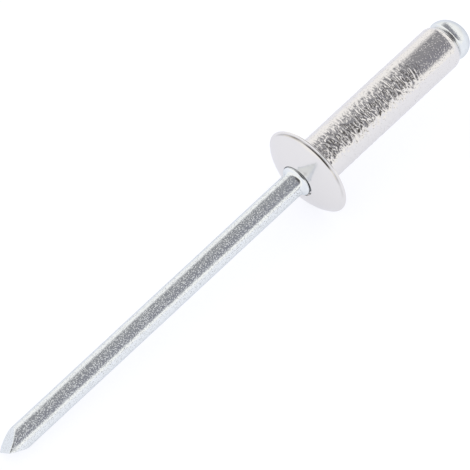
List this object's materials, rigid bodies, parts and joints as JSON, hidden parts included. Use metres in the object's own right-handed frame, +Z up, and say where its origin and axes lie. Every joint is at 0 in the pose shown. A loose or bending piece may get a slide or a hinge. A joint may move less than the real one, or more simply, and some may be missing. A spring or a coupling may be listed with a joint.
{
  "type": "pop rivet",
  "caption": "Open-end blind rivet, unset: aluminium body with a domed flange on a zinc-plated steel mandrel with a button head and a pinched point.",
  "frame": {"origin": "centre of the flange's bearing face, on the rivet's own axis; the ground it lies on is 3.34 mm below", "axes": "+X from the pinched point towards the mandrel's head, level with the ground; the rivet's own axis rises 4.96 degrees from +X; +Z up"},
  "size_m": [0.0449, 0.0066, 0.0066],
  "materials": {
    "body_aluminium": "bright, as headed, with a fine crosswise wrinkle on the shank",
    "mandrel_steel": "bright zinc plate, faintly blue, finely pitted"
  },
  "bodies": {
    "root": {"rivet_body": "body_aluminium", "mandrel": "mandrel_steel"}
  },
  "joints": []
}
